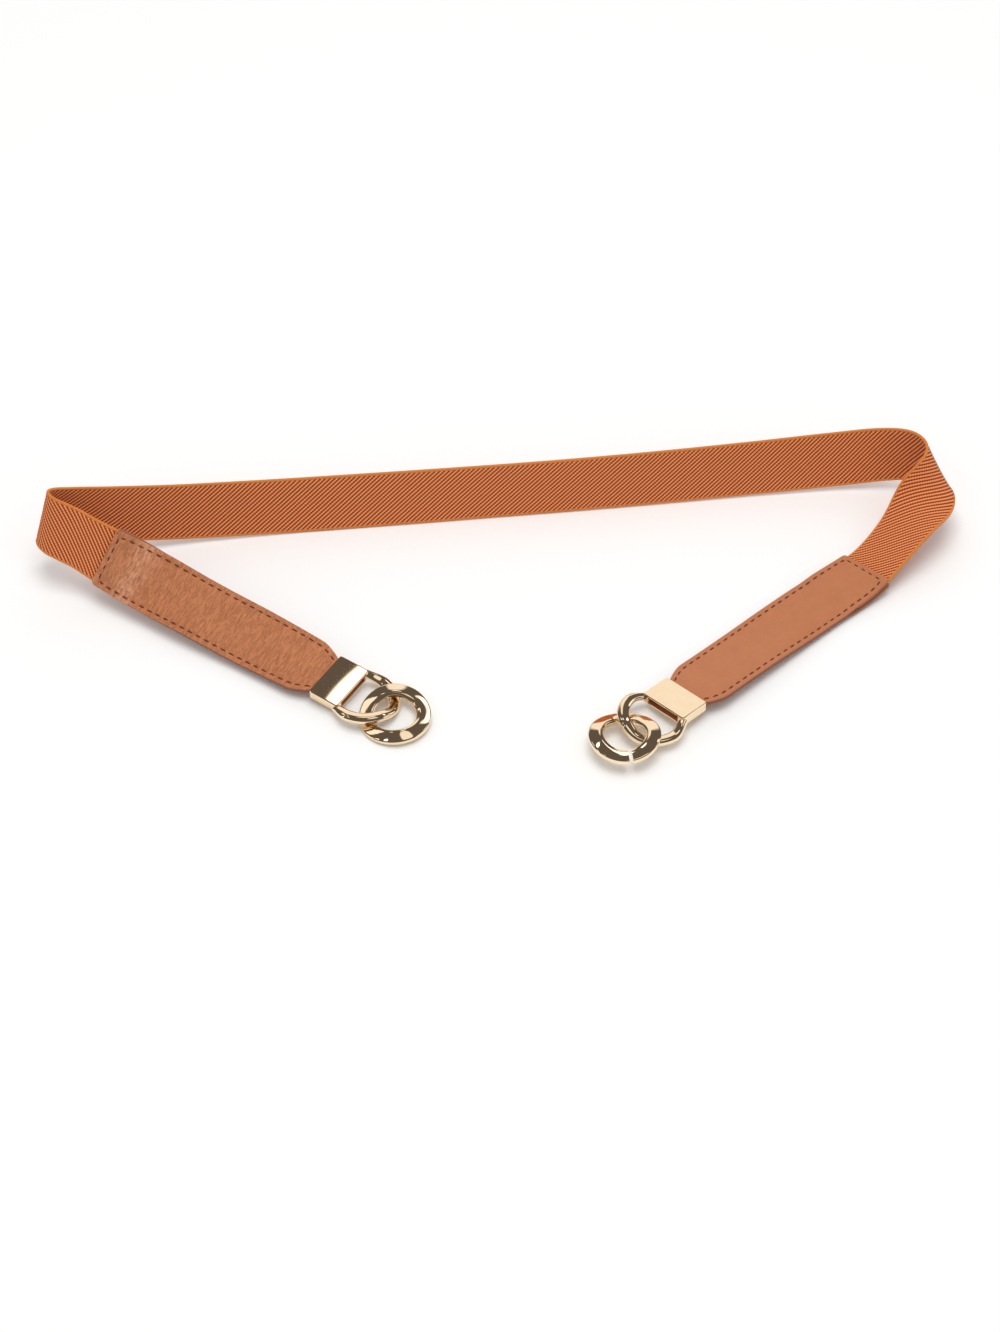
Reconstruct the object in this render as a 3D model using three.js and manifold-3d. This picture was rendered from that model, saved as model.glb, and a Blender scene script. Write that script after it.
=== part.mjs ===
// Elastic stretch belt with two gold clasp ends, lying open on a surface.
// Millimetres, +Z up. The belt's back run goes along X, its two ends come forward, towards -Y.
import * as THREE from 'three';
import { mergeVertices } from 'three/addons/utils/BufferGeometryUtils.js';
import Module from 'manifold-3d';

const wasm = await Module();
wasm.setup();

// Driving dimensions
const halfRun = 348.5;          // strap from the middle of the back to a clasp box
const clearance = 0.3;          // gap between pieces that touch on the real belt
const elastic = { width: 25, thick: 1.3 };
const tab = {
  length: 108, width: 26.3, layer: 1.0, overlap: 18, closing: 9, shoulder: 9.5, tongueWidth: 19.4,
};
const box = {
  length: 13.9, width: 22, height: 4.4, tongueDepth: 9.5, corner: 0.9, edge: 0.4, pocketWidth: 15.6, web: 1.1,
};
const link = { reach: 20.2, band: 4.8, thick: 2.7, bulge: 3.6, rootAngle: 112, centre: 4.2 };
const linkRoot = { from: 80, width: 0.92, band: 0.75 };   // each arm narrows where it meets the box
const ring = { outer: 28.8, band: 6.0, thick: 3.4, rearThick: 2.7, wave: 1.0 };
const ringRear = { from: -0.2, to: 0.7 };   // where it thins, as shares of its radius towards the box
const groove = { width: 2.0, depth: 1.3, frontAngle: 55, rearAngle: -108 };
const slit = { width: 1.5 };
const ends = {
  left: { ringAhead: 20.5, ringTilt: 3, slitRing: false },
  right: { ringAhead: 21.8, ringTilt: 0, slitRing: true },
};

// The way the strap lies, from the left clasp round the back to the right one.
// at: share of halfRun from the middle of the back. heading: direction of travel in plan, from +X.
// slope: climb of the centre line. lean: 90 stands on its edge, 0 lies flat with its outer face up.
// All three are in degrees.
const route = [
  { at: -1.000, heading: 146, slope: 4, lean: 6 },
  { at: -0.900, heading: 148, slope: 5, lean: 20 },
  { at: -0.800, heading: 149, slope: 8, lean: 24 },
  { at: -0.720, heading: 154, slope: 16, lean: 50 },
  { at: -0.660, heading: 156, slope: 18, lean: 66 },
  { at: -0.620, heading: 152, slope: 13, lean: 66 },
  { at: -0.600, heading: 109, slope: -4, lean: 72 },
  { at: -0.585, heading: 45, slope: -16, lean: 83 },
  { at: -0.570, heading: 18, slope: -17, lean: 90 },
  { at: -0.550, heading: 13, slope: -15, lean: 96 },
  { at: -0.500, heading: 14, slope: -12, lean: 104 },
  { at: -0.420, heading: 11, slope: -6, lean: 107 },
  { at: -0.280, heading: 7, slope: -1, lean: 107 },
  { at: 0.000, heading: 7, slope: 0, lean: 103 },
  { at: 0.280, heading: 8, slope: 1, lean: 106 },
  { at: 0.370, heading: 6, slope: 3, lean: 108 },
  { at: 0.430, heading: -3, slope: 9, lean: 106 },
  { at: 0.470, heading: -24, slope: 14, lean: 96 },
  { at: 0.510, heading: -64, slope: 13, lean: 71 },
  { at: 0.550, heading: -118, slope: -17, lean: 45 },
  { at: 0.600, heading: -130, slope: -25, lean: -4 },
  { at: 0.660, heading: -135, slope: -21, lean: -15 },
  { at: 0.720, heading: -140, slope: -5, lean: -3 },
  { at: 0.800, heading: -137, slope: 1, lean: 0 },
  { at: 0.900, heading: -136, slope: 2, lean: -4 },
  { at: 1.000, heading: -136, slope: 2, lean: -4 },
];

const walkStep = 1;             // step of the walk along the strap
const sectionTurn = 9;          // a section at least every so many degrees of turn
const sectionSpan = 6;          // and at least every so many millimetres
const seatRounds = 6;           // rounds that settle the belt on its three supports
const backShare = 0.35;         // share of halfRun, each way from the middle, that can carry the back

const radians = THREE.MathUtils.degToRad;

// A value of the route table between its rows, on a smooth curve through them.
function smooth(key, at) {
  const last = route.length - 1;
  const x = THREE.MathUtils.clamp(at, route[0].at, route[last].at);
  let i = 0;
  while (i < last - 1 && route[i + 1].at < x) i += 1;
  const rate = (j) => (route[j + 1][key] - route[j][key]) / (route[j + 1].at - route[j].at);
  const tangent = (j) => {
    if (j === 0) return rate(0);
    if (j === last) return rate(last - 1);
    const before = route[j].at - route[j - 1].at;
    const after = route[j + 1].at - route[j].at;
    return (rate(j) * before + rate(j - 1) * after) / (before + after);
  };
  const span = route[i + 1].at - route[i].at;
  const t = (x - route[i].at) / span;
  const [t2, t3] = [t * t, t * t * t];
  return (2 * t3 - 3 * t2 + 1) * route[i][key] + (t3 - 2 * t2 + t) * span * tangent(i)
    + (3 * t2 - 2 * t3) * route[i + 1][key] + (t3 - t2) * span * tangent(i + 1);
}

// Axes of the strap: along its travel, across its width towards the loop's inside or up, and out of its
// outer face.
function axesAt(s) {
  const heading = radians(smooth('heading', s / halfRun));
  const slope = radians(smooth('slope', s / halfRun));
  const lean = radians(smooth('lean', s / halfRun));
  const along = new THREE.Vector3(
    Math.cos(heading) * Math.cos(slope), Math.sin(heading) * Math.cos(slope), Math.sin(slope));
  const level = new THREE.Vector3(Math.sin(heading), -Math.cos(heading), 0);
  const upright = new THREE.Vector3().crossVectors(level, along);
  const across = upright.multiplyScalar(Math.sin(lean)).addScaledVector(level, Math.cos(lean));
  return { along, across, outward: new THREE.Vector3().crossVectors(across, along) };
}

// Centre line of the strap, walked both ways from the middle of the back.
const walkCount = Math.ceil(halfRun / walkStep);
const pace = halfRun / walkCount;
const centreLine = new Map([[0, new THREE.Vector3()]]);
for (const side of [-1, 1]) {
  for (let i = 1; i <= walkCount; i += 1) {
    const from = centreLine.get(side * (i - 1));
    const { along } = axesAt(side * (i - 0.5) * pace);
    centreLine.set(side * i, from.clone().addScaledVector(along, side * pace));
  }
}

function frameAt(s) {
  const index = THREE.MathUtils.clamp(Math.floor(s / pace), -walkCount, walkCount - 1);
  const point = centreLine.get(index).clone().lerp(centreLine.get(index + 1), s / pace - index);
  return { point, ...axesAt(s) };
}

// The elastic ends inside both tabs.
const seam = halfRun - tab.length;
const elasticEnd = seam + tab.overlap;

// Places of the sections that every layer of the strap shares, closer together where it turns.
function sectionPlaces() {
  const places = [-halfRun];
  let previous = axesAt(-halfRun);
  for (let i = -walkCount + 1; i < walkCount; i += 1) {
    const s = i * pace;
    const axes = axesAt(s);
    const turn = axes.along.angleTo(previous.along) + axes.across.angleTo(previous.across);
    if (turn >= radians(sectionTurn) || s - places[places.length - 1] >= sectionSpan) {
      places.push(s);
      previous = axes;
    }
  }
  const shared = [-elasticEnd, -seam, seam, elasticEnd, halfRun];
  const apart = places.filter((s) => shared.every((own) => Math.abs(s - own) > clearance));
  return [...apart, ...shared].sort((a, b) => a - b);
}
const places = sectionPlaces();

// Closed solid from rings of points, each ring with the same count, capped at both ends or looped.
// Both faces of a strap are split along the same diagonals, so a twisted layer keeps its thickness.
function loft(rings, looped = false) {
  const count = rings[0].length;
  const positions = rings.flat().flatMap((p) => [p.x, p.y, p.z]);
  const faces = [];
  const spans = looped ? rings.length : rings.length - 1;
  for (let i = 0; i < spans; i += 1) {
    const here = i * count;
    const next = ((i + 1) % rings.length) * count;
    for (let j = 0; j < count; j += 1) {
      const k = (j + 1) % count;
      if (j < count / 2) faces.push(here + j, next + j, next + k, here + j, next + k, here + k);
      else faces.push(here + j, next + j, here + k, here + k, next + j, next + k);
    }
  }
  if (!looped) {
    const lastRing = (rings.length - 1) * count;
    for (let j = 1; j < count - 1; j += 1) {
      faces.push(0, j, j + 1, lastRing, lastRing + j + 1, lastRing + j);
    }
  }
  const geometry = new THREE.BufferGeometry();
  geometry.setAttribute('position', new THREE.Float32BufferAttribute(positions, 3));
  geometry.setIndex(faces);
  return signedVolume(geometry) > 0 ? geometry : turnedOut(geometry);
}

function signedVolume(geometry) {
  const points = geometry.getAttribute('position');
  const index = geometry.getIndex();
  const [a, b, c] = [new THREE.Vector3(), new THREE.Vector3(), new THREE.Vector3()];
  let volume = 0;
  for (let i = 0; i < index.count; i += 3) {
    a.fromBufferAttribute(points, index.getX(i));
    b.fromBufferAttribute(points, index.getX(i + 1));
    c.fromBufferAttribute(points, index.getX(i + 2));
    volume += a.dot(b.cross(c)) / 6;
  }
  return volume;
}

function turnedOut(geometry) {
  const faces = Array.from(geometry.getIndex().array);
  for (let i = 0; i < faces.length; i += 3) [faces[i + 1], faces[i + 2]] = [faces[i + 2], faces[i + 1]];
  geometry.setIndex(faces);
  return geometry;
}

// Booleans
function solidOf(geometry) {
  const bare = geometry.clone();
  for (const name of Object.keys(bare.attributes)) if (name !== 'position') bare.deleteAttribute(name);
  const merged = mergeVertices(bare, 1e-4);
  return new wasm.Manifold(new wasm.Mesh({
    numProp: 3,
    vertProperties: new Float32Array(merged.getAttribute('position').array),
    triVerts: new Uint32Array(merged.getIndex().array),
  }));
}

function geometryOf(solid) {
  const mesh = solid.getMesh();
  const geometry = new THREE.BufferGeometry();
  geometry.setAttribute('position', new THREE.Float32BufferAttribute(mesh.vertProperties, 3));
  geometry.setIndex(Array.from(mesh.triVerts));
  return geometry;
}

// One layer of the strap from one place to another. size(s) gives its half width and its two faces.
function layer(from, to, size) {
  const inside = places.filter((s) => s > from + clearance && s < to - clearance);
  const rings = [from, ...inside, to].map((s) => {
    const { point, across, outward } = frameAt(s);
    const { half, low, high } = size(s);
    const at = (b, n) => point.clone().addScaledVector(across, b).addScaledVector(outward, n);
    return [at(-half, low), at(half, low), at(half, high), at(-half, high)];
  });
  return loft(rings);
}

function elasticLayer() {
  const half = elastic.width / 2;
  const face = elastic.thick / 2;
  return layer(-elasticEnd, elasticEnd, () => ({ half, low: -face, high: face }));
}

// Distance from the strap's middle surface to a leather layer: over the elastic, then closing
// beyond its end.
function leatherInset(s) {
  const open = elastic.thick / 2 + clearance;
  const closed = clearance / 2;
  const beyond = Math.abs(s) - elasticEnd - clearance;
  return THREE.MathUtils.lerp(open, closed, THREE.MathUtils.smoothstep(beyond, 0, tab.closing));
}

// Half width of the leather: full, then tapered to the tongue that the clasp box holds.
const shoulderEnd = halfRun - clearance;
const shoulderStart = shoulderEnd - tab.shoulder;
const shoulderRounding = 1.5;
function leatherHalf(s) {
  const full = tab.width / 2;
  const tongue = tab.tongueWidth / 2;
  const t = THREE.MathUtils.clamp((Math.abs(s) - shoulderStart) / tab.shoulder, 0, 1);
  return THREE.MathUtils.lerp(full, tongue, t ** shoulderRounding);
}

// A leather layer with its tongue, which runs straight on into the clasp box.
function leatherLayer(side, face) {
  const shoulderSteps = 5;
  const shoulder = Array.from({ length: shoulderSteps + 1 },
    (_, i) => shoulderStart + tab.shoulder * i / shoulderSteps);
  const plain = places.map((s) => s * side)
    .filter((s) => s > seam + clearance && s < shoulderStart - clearance);
  const stations = [seam, ...plain, ...shoulder, halfRun, halfRun + box.tongueDepth]
    .sort((a, b) => a - b);
  const rings = stations.map((distance) => {
    const s = side * Math.min(distance, halfRun);
    const { point, along, across, outward } = frameAt(s);
    point.addScaledVector(along, side * Math.max(distance - halfRun, 0));
    const half = leatherHalf(s);
    const near = face * leatherInset(s);
    const far = face * (leatherInset(s) + tab.layer);
    const at = (b, n) => point.clone().addScaledVector(across, b).addScaledVector(outward, n);
    return [at(-half, near), at(half, near), at(half, far), at(-half, far)];
  });
  return loft(side > 0 ? rings : rings.reverse());
}

// Clasp in its own frame: x forward from the box's back edge, y to the side where the ring passes
// over the link, z out of the strap's outer face.
function boxGeometry() {
  const [w, e, r] = [box.width / 2, box.edge, box.corner];
  const outline = new THREE.Shape();
  outline.moveTo(r, -w);
  outline.lineTo(box.length - r, -w);
  outline.absarc(box.length - r, -w + r, r, -Math.PI / 2, 0, false);
  outline.lineTo(box.length, w - r);
  outline.absarc(box.length - r, w - r, r, 0, Math.PI / 2, false);
  outline.lineTo(r, w);
  outline.absarc(r, w - r, r, Math.PI / 2, Math.PI, false);
  outline.lineTo(0, -w + r);
  outline.absarc(r, -w + r, r, Math.PI, 1.5 * Math.PI, false);
  const geometry = new THREE.ExtrudeGeometry(outline, {
    depth: box.height - 2 * e, curveSegments: 3,
    bevelEnabled: true, bevelThickness: e, bevelSize: e, bevelOffset: -e, bevelSegments: 1,
  });
  return geometry.translate(0, 0, -box.height / 2 + e);
}

// The slot takes both tongues from behind. A pocket of the same height opens into the D, and a web
// parts the two.
const slotDepth = box.tongueDepth + clearance;
const slotHeight = 2 * tab.layer + 3 * clearance;

function boxSlot() {
  return new THREE.BoxGeometry(2 * slotDepth, tab.tongueWidth + 2 * clearance, slotHeight);
}

function boxPocket() {
  const depth = box.length - slotDepth - box.web;
  return new THREE.BoxGeometry(2 * depth, box.pocketWidth, slotHeight).translate(box.length, 0, 0);
}

// Crossing of the ring and the link: one passes over the other with a clear gap.
const ringRadius = (ring.outer - ring.band) / 2;
const linkLong = link.reach - link.band / 2 - link.centre;
const linkWide = box.width / 2 - link.band / 2 + link.bulge;
const crossingGap = (link.thick + ring.rearThick) / 2 + 2 * clearance;
const linkDip = crossingGap - ring.wave;

// Bevelled sections, as shares of the band and the thickness, from the inner edge to the outer one.
const linkSection = [
  { across: -0.50, up: -0.24 }, { across: -0.32, up: -0.50 }, { across: 0.38, up: -0.50 },
  { across: 0.50, up: -0.38 }, { across: 0.50, up: 0.20 }, { across: 0.34, up: 0.42 },
  { across: 0.14, up: 0.50 }, { across: -0.30, up: 0.38 }, { across: -0.50, up: 0.14 },
];
const ringSection = [
  { across: -0.50, up: -0.25 }, { across: -0.36, up: -0.50 }, { across: 0.38, up: -0.50 },
  { across: 0.50, up: -0.38 }, { across: 0.50, up: 0.14 }, { across: 0.42, up: 0.24 },
  { across: -0.22, up: 0.50 }, { across: -0.40, up: 0.46 }, { across: -0.50, up: 0.24 },
];

// The D-shaped link on the box's front: part of an ellipse that dips on one side and rises on the
// other.
function linkGeometry() {
  const steps = 36;
  const rings = [];
  for (let i = 0; i <= steps; i += 1) {
    const degrees = link.rootAngle * (2 * i / steps - 1);
    const angle = radians(degrees);
    const root = THREE.MathUtils.smoothstep(Math.abs(degrees), linkRoot.from, link.rootAngle);
    const centre = new THREE.Vector3(
      box.length + link.centre + linkLong * Math.cos(angle),
      linkWide * Math.sin(angle) * THREE.MathUtils.lerp(1, linkRoot.width, root),
      -linkDip * Math.sin(Math.PI / 2 * Math.sin(Math.PI * degrees / link.rootAngle)));
    const band = link.band * THREE.MathUtils.lerp(1, linkRoot.band, root);
    const outward = new THREE.Vector3(Math.cos(angle) / linkLong, Math.sin(angle) / linkWide, 0)
      .normalize();
    rings.push(linkSection.map(({ across, up }) => centre.clone()
      .addScaledVector(outward, across * band).add(new THREE.Vector3(0, 0, up * link.thick))));
  }
  return loft(rings);
}

// The ring: a bevelled band, thinner where it passes through the link, waved so that both lie flat
// together.
function ringGeometry() {
  const steps = 56;
  const rings = [];
  for (let i = 0; i < steps; i += 1) {
    const angle = 2 * Math.PI * i / steps;
    const rear = THREE.MathUtils.smoothstep(-Math.cos(angle), ringRear.from, ringRear.to);
    const thick = THREE.MathUtils.lerp(ring.thick, ring.rearThick, rear);
    const outward = new THREE.Vector3(Math.cos(angle), Math.sin(angle), 0);
    const wave = -ring.wave * Math.sin(2 * angle);
    rings.push(ringSection.map(({ across, up }) => outward.clone()
      .multiplyScalar(ringRadius + across * ring.band)
      .add(new THREE.Vector3(0, 0, wave + up * thick))));
  }
  return loft(rings, true);
}

// A wedge lying across the band with its edge down, which cuts a groove in its top.
function grooveCutter(degrees) {
  const top = ring.thick / 2 + ring.wave;
  const tool = new THREE.CylinderGeometry(groove.width, groove.width, 3 * ring.band, 4);
  tool.scale(1, 1, (groove.depth + ring.wave) / groove.width);
  tool.rotateZ(Math.PI / 2);
  tool.translate(ringRadius, 0, top);
  return tool.rotateZ(radians(degrees));
}

function slitCutter(degrees) {
  const tool = new THREE.BoxGeometry(3 * ring.band, slit.width, 4 * ring.thick);
  tool.translate(ringRadius, 0, 0);
  return tool.rotateZ(radians(degrees));
}

function claspSolid() {
  return solidOf(boxGeometry()).add(solidOf(linkGeometry()))
    .subtract(solidOf(boxSlot())).subtract(solidOf(boxPocket()));
}

function ringSolid(end) {
  const front = end.slitRing ? slitCutter(groove.frontAngle) : grooveCutter(groove.frontAngle);
  return solidOf(ringGeometry())
    .subtract(solidOf(grooveCutter(groove.rearAngle))).subtract(solidOf(front));
}

// The casting's frame at one end of the strap. Both ends hold the same casting.
function claspPlacement(side) {
  const { point, along, across, outward } = frameAt(side * halfRun);
  const forward = along.clone().multiplyScalar(side);
  const sideways = across.clone().multiplyScalar(-side);
  return new THREE.Matrix4().makeBasis(forward, sideways, outward).setPosition(point);
}

const materials = {
  elastic: new THREE.MeshStandardMaterial({ color: 0xb5601f, roughness: 0.9, metalness: 0 }),
  leather: new THREE.MeshStandardMaterial({ color: 0xb06a45, roughness: 0.6, metalness: 0 }),
  lining: new THREE.MeshStandardMaterial({ color: 0x9c5c3d, roughness: 0.7, metalness: 0 }),
  gold: new THREE.MeshStandardMaterial({ color: 0xe6bd84, roughness: 0.15, metalness: 1 }),
};

const belt = new THREE.Group();

function addPiece(name, geometry, material, matrix = new THREE.Matrix4()) {
  const mesh = new THREE.Mesh(geometry, material);
  mesh.name = name;
  mesh.applyMatrix4(matrix);
  belt.add(mesh);
}

addPiece('elastic_band', elasticLayer(), materials.elastic);
for (const [name, side] of [['left', -1], ['right', 1]]) {
  const end = ends[name];
  const placement = claspPlacement(side);
  const ringPlacement = placement.clone()
    .multiply(new THREE.Matrix4().makeTranslation(box.length + end.ringAhead, 0, 0))
    .multiply(new THREE.Matrix4().makeRotationX(radians(end.ringTilt)));
  addPiece(`tab_front_${name}`, leatherLayer(side, 1), materials.leather);
  addPiece(`tab_back_${name}`, leatherLayer(side, -1), materials.lining);
  addPiece(`clasp_${name}`, geometryOf(claspSolid()), materials.gold, placement);
  addPiece(`ring_${name}`, geometryOf(ringSolid(end)), materials.gold, ringPlacement);
}

// The belt lies on three places: each clasp end and the lower edge of the back run.
function pointsOf(suffix) {
  belt.updateMatrixWorld(true);
  return belt.children.filter((mesh) => mesh.name.endsWith(suffix)).flatMap((mesh) => {
    const points = mesh.geometry.getAttribute('position');
    return Array.from({ length: points.count }, (_, i) => new THREE.Vector3()
      .fromBufferAttribute(points, i).applyMatrix4(mesh.matrix));
  });
}

function backPoints() {
  return places.filter((s) => Math.abs(s) < backShare * halfRun).flatMap((s) => {
    const { point, across, outward } = frameAt(s);
    point.addScaledVector(across, -elastic.width / 2);
    return [-1, 1].map((face) => point.clone().addScaledVector(outward, face * elastic.thick / 2));
  });
}

function settle() {
  const supports = [pointsOf('_left'), pointsOf('_right'), backPoints()];
  const turn = new THREE.Quaternion();
  for (let round = 0; round < seatRounds; round += 1) {
    const height = (point) => point.clone().applyQuaternion(turn).z;
    const lowest = supports.map((points) => points.reduce((a, b) => (height(b) < height(a) ? b : a)));
    const { normal } = new THREE.Plane().setFromCoplanarPoints(...lowest);
    if (normal.z < 0) normal.negate();
    turn.setFromUnitVectors(normal, new THREE.Vector3(0, 0, 1));
  }
  belt.quaternion.copy(turn);
  belt.updateMatrixWorld(true);
  const bounds = new THREE.Box3().setFromObject(belt, true);
  const middle = bounds.getCenter(new THREE.Vector3());
  belt.position.sub(new THREE.Vector3(middle.x, middle.y, bounds.min.z));
}
settle();

const group = new THREE.Group();
group.add(belt);
group.updateMatrixWorld(true);

export default group;
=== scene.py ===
"""Elastic stretch belt with two gold clasp ends, lying open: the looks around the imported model.

Shapes are worked out in millimetres in the row's frame, +Z up, and stored in metres.
"""
import math
from itertools import permutations

import bmesh
import bpy
import numpy as np
from mathutils import Matrix, Vector, noise


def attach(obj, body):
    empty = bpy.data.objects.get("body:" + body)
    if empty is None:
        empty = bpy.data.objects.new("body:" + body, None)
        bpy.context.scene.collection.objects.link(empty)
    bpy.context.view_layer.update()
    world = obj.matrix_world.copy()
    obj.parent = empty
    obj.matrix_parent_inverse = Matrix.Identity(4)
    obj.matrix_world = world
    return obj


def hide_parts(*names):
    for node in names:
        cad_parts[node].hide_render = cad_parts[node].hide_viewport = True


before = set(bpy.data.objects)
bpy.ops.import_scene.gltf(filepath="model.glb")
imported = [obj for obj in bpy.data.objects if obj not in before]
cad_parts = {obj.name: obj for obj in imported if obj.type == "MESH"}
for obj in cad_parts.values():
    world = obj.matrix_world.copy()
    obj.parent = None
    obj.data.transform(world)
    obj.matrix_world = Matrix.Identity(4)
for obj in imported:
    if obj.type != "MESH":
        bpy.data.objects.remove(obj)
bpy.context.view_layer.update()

MM = 0.001

# Camera, fitted to the photo. Place in millimetres, angles in degrees, focal length in the photo's pixels.
PHOTO_HEIGHT = 1332
SENSOR = 36.0
CAMERA = {"place": (-13.3, -879.9, 868.1), "pitch": 45.56, "yaw": 0.87, "roll": -0.94, "focal": 3000.0}
CLIP = (0.05, 50.0)         # metres

# Elastic
ELASTIC_WIDTH = 25.0
ELASTIC_THICK = 1.3
RIB_PITCH = 2.10            # along the strap
RIB_LEAN = 1.12             # run of a rib along the strap for each millimetre across it
RIB_DEPTH = 0.30
RIB_SHAPE = 0.7             # power of the sine, which makes broad crests and narrow grooves
RIB_FADE = 0.35             # width in which the ribs end beside the selvage
SELVAGE = 1.0               # smooth border along each edge
SELVAGE_ROUND = 0.45
SELVAGE_GROOVE = 0.16       # width and depth of the groove beside the selvage
END_TRIM = 0.05             # the weave ends this much short of the solid
COLUMNS_PER_RIB = 5
EDGE_LINES = (0.0, 0.06, 0.2, 0.45, 0.9, SELVAGE, SELVAGE + RIB_FADE)   # mesh lines in from each edge
INNER_LINES = 16

# Leather tabs
OUTER, INNER = 1, -1        # the two layers of a tab, by the side of the elastic that they lie on
TAB = {
    "width": 26.3, "tongue": 19.4, "shoulder": 9.5, "closing": 9.0, "tongue_depth": 9.5, "rounding": 1.5,
}
LEATHER_THICK = 1.0
SEAM_CORNER = 1.8           # rounding of the tab's corners at the seam
SEAM_LIFT = 0.55            # share of the height that is left at the seam's edge
EDGE_ROUND = 0.32
FACE_DROP = 0.06            # keeps the leather's unevenness within the solid
FACE_PUFF = {"height": 0.10, "reach": 3.5}
MOUTH_EASE = 1.2            # length in which the face levels out before the box
LEATHER_RIM = [(1.0, 0.35), (1.0, 0.68), (0.991, 0.9)]      # shares of the half width and the height
LEATHER_BACK = (0.991, 0.5, 0.0, -0.5, -0.991)              # mesh lines of the near face, as shares
FACE_SHARE = 0.975          # share of the half width that the face's mesh lines cover
FACE_LINES = 53
CUT_EDGE_FROM = 0.99        # share of the half width beyond which a layer shows its cut edge
RUN_LINES = {"near_seam": (0, 0.1, 0.3, 0.6, 1.0, 1.4), "even_from": 1.9, "even_step": 0.6}

# Stitches
STITCH_INSET = 2.3
STITCH_PITCH = 4.1
STITCH_CHANNEL = {"depth": 0.16, "width": 0.75}
STITCH_END = 0.6            # the line ends this far before the box
STITCH_FROM = 0.20          # share of the pitch where a thread comes up
STITCH_SPAN = 0.60          # share of the pitch that a thread spans
STITCH_SINK = 0.30          # depth of a thread's ends
STITCH_RISE = 0.22
STITCH_SIDES = 6
STITCH_STEPS = 5
STITCH_LINE_POINTS = {"edge": 80, "seam": 30}
THREAD = 0.62
THREAD_TIP = 0.55           # share of the thread's radius at its ends

# Wrinkles: heights in millimetres, places along the strap from the seam
PAINTED_SHEEN_PLACE = 15.0           # middle of the left tab's band of painted highlight
PAINTED_SHEEN_REACH = 8.0
WRINKLE_FINE = 0.45         # fine wrinkles' share of the folds
UNEVENNESS = 0.08
WRINKLE_START = 10.0
WRINKLE_FADE = {"from": 70, "to": 100, "share": 0.6}
WAVES = {
    "fold": {"along": 0.55, "lean": 0.12, "across": 0.10, "seed": 0},
    "fine": {"along": 1.3, "lean": 0.3, "across": 0.28, "seed": 5},
    "broad": {"along": 0.12, "lean": 0.0, "across": 0.12, "seed": 9},
}

# Clasp, as in the model. Angles are in degrees.
BOX = {"length": 13.9, "width": 22.0, "height": 4.4, "corner": 0.9, "edge": 0.4, "crown": 0.2}
SLOT = {"depth": 9.8, "width": 20.0, "height": 2.9}
POCKET = {"depth": 3.0, "width": 15.6}
LINK = {"reach": 20.2, "band": 4.8, "thick": 2.7, "bulge": 3.6, "root": 112.0, "centre": 4.2}
LINK_ROOT = {"from": 80.0, "width": 0.92, "band": 0.75}
RING = {"outer": 28.8, "band": 6.0, "thick": 3.4, "rear": 2.7, "wave": 1.0}
RING_THINS = (-0.2, 0.7)    # cosines of the angle from the rear between which the ring gets thinner
GROOVE = {"width": 2.0, "depth": 1.3, "front": 55.0, "rear": -108.0}
HALF_CUT = 1.5              # half the length of a cut across the ring, in bands
SLIT_WIDTH = 1.5
CLEARANCE = 0.3
CORNER_CUT = 0.16           # share of each side that rounding a section's corners takes
CORNER_ROUNDS = 2
LINK_STEPS = 150
RING_STEPS = 200
CROWN_GRID = {"length": (0.9, 13), "width": (0.95, 20)}     # outermost cut as a share, and number of cuts
CROWN_SHARE = {"length": 0.6, "width": 0.4}
BEVEL = {"corner": {"segments": 5, "profile": 0.5}, "edge": {"segments": 3, "profile": 0.6}}
RIM_TURN = 0.5              # least difference between the upward shares of two normals at a rim
SHARP_ANGLE = 28
WALL_REACH = 0.01           # how far from a wall's place a face still counts as part of it
# "ahead" is the way from the box's front to the ring's centre
ENDS = {
    "left": {"side": -1, "ahead": 20.5, "tilt": 3.0, "slit": False, "wrinkles": 0.13, "seed": 3.0},
    "right": {"side": 1, "ahead": 21.8, "tilt": 0.0, "slit": True, "wrinkles": 0.03, "seed": 17.0},
}


def unit(vectors):
    """Vectors scaled to unit length."""
    return vectors / np.linalg.norm(vectors, axis=-1, keepdims=True)


def smoothstep(value, low, high):
    """From 0 at low to 1 at high, with level ends."""
    t = np.clip((np.asarray(value, float) - low) / (high - low), 0.0, 1.0)
    return t * t * (3 - 2 * t)


# Sections of the strap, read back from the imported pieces
WELD = 1e-6                 # metres
COPLANAR = 0.9999           # least cosine between the halves of a flat end


def layers_from(first, near):
    """Rings of four vertices, from the first one on, or None where the mesh isn't a strip from there."""
    rings, seen = [first], set(first)
    while True:
        following = set().union(*(near[v] for v in rings[-1])) - seen
        if not following:
            return rings if len(seen) == len(near) else None
        if len(following) != 4:
            return None
        rings.append(following)
        seen |= following


def sections_of(node):
    """Corners of a strip's sections from one end to the other, in millimetres: sections, corners, axes."""
    strip = bmesh.new()
    strip.from_mesh(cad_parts[node].data)
    bmesh.ops.remove_doubles(strip, verts=strip.verts, dist=WELD)
    near = {v: {e.other_vert(v) for e in v.link_edges} for v in strip.verts}
    rings = None
    for edge in strip.edges:
        one, other = edge.link_faces
        if one.normal.dot(other.normal) < COPLANAR:
            continue
        rings = layers_from(set(one.verts) | set(other.verts), near)
        if rings:
            break
    # The edge is a diagonal of the flat end, and c shares a short side with a
    a, b = edge.verts
    c, d = sorted(rings[0] - {a, b}, key=lambda v: (v.co - a.co).length)
    corners = [np.array([v.co for v in (c, b, d, a)])]
    for ring in rings[1:]:
        points = np.array([v.co for v in ring])
        corners.append(min(
            (points[list(p)] for p in permutations(range(4))),
            key=lambda q: np.linalg.norm(q - corners[-1], axis=1).sum()))
    strip.free()
    return np.array(corners) / MM


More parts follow.
